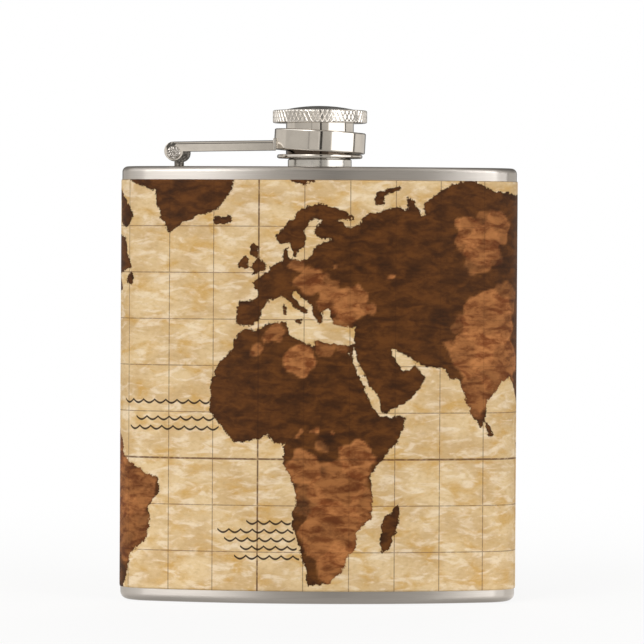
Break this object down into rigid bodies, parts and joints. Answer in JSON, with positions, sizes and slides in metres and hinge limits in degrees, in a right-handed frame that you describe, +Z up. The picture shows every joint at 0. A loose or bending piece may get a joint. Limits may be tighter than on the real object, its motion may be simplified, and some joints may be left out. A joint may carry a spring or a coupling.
{
  "type": "hip flask",
  "caption": "Curved steel pocket flask in a printed leatherette sleeve, with a knurled screw cap held by a hinged arm and swivel collar.",
  "frame": {"origin": "middle of the base, on the surface it stands on; centred on the overall width and depth", "axes": "+Z up through the neck, +X to the side away from the hinge, -Y towards the convex printed front face"},
  "size_m": [0.093, 0.0274, 0.1157],
  "materials": {
    "satin_steel": "satin, fine level brushing",
    "polished_steel": "polished stainless steel",
    "printed_leatherette": "printed vinyl leatherette, light sheen",
    "braze": "bright silver braze",
    "silicone": "translucent white silicone"
  },
  "bodies": {
    "flask": {"body_wall": "satin_steel", "top_plate": "satin_steel", "bottom_plate": "satin_steel", "vinyl_wrap": "printed_leatherette", "neck_spout": "polished_steel", "hinge_post": "polished_steel"},
    "rivet": {"hinge_pin": "polished_steel"},
    "arm": {"captive_arm": "polished_steel", "swivel_collar": "polished_steel", "arm_braze": "braze"},
    "seal": {"cap_gasket": "silicone"},
    "cap": {"cap_head": "polished_steel", "cap_dome": "polished_steel", "cap_barrel": "polished_steel", "cap_thread_insert": "polished_steel", "retaining_flange": "polished_steel"}
  },
  "joints": [
    {"name": "arm_swing", "type": "hinge", "parent": "flask", "child": "rivet", "pos_m": [-0.034, -0.00274, 0.1045], "axis": [0, -1, 0], "range_deg": [0, 170]},
    {"name": "arm_rise", "type": "hinge", "parent": "rivet", "child": "arm", "pos_m": [-0.034, -0.00274, 0.1045], "axis": [0, -1, 0], "range_deg": [0, 4.07]},
    {"name": "cap_lift", "type": "slide", "parent": "rivet", "child": "seal", "axis": [0, 0, 1], "range_m": [0, 0.00241]},
    {"name": "cap_spin", "type": "hinge", "parent": "seal", "child": "cap", "pos_m": [0, -0.00274, 0.11], "axis": [0, 0, 1], "range_deg": [0, 576]}
  ],
  "couplings": [
    {"joint": "arm_rise", "follows": "cap_spin", "ratio": 0.0070274},
    {"joint": "cap_lift", "follows": "cap_spin", "m_per_rad": 0.00023873}
  ]
}
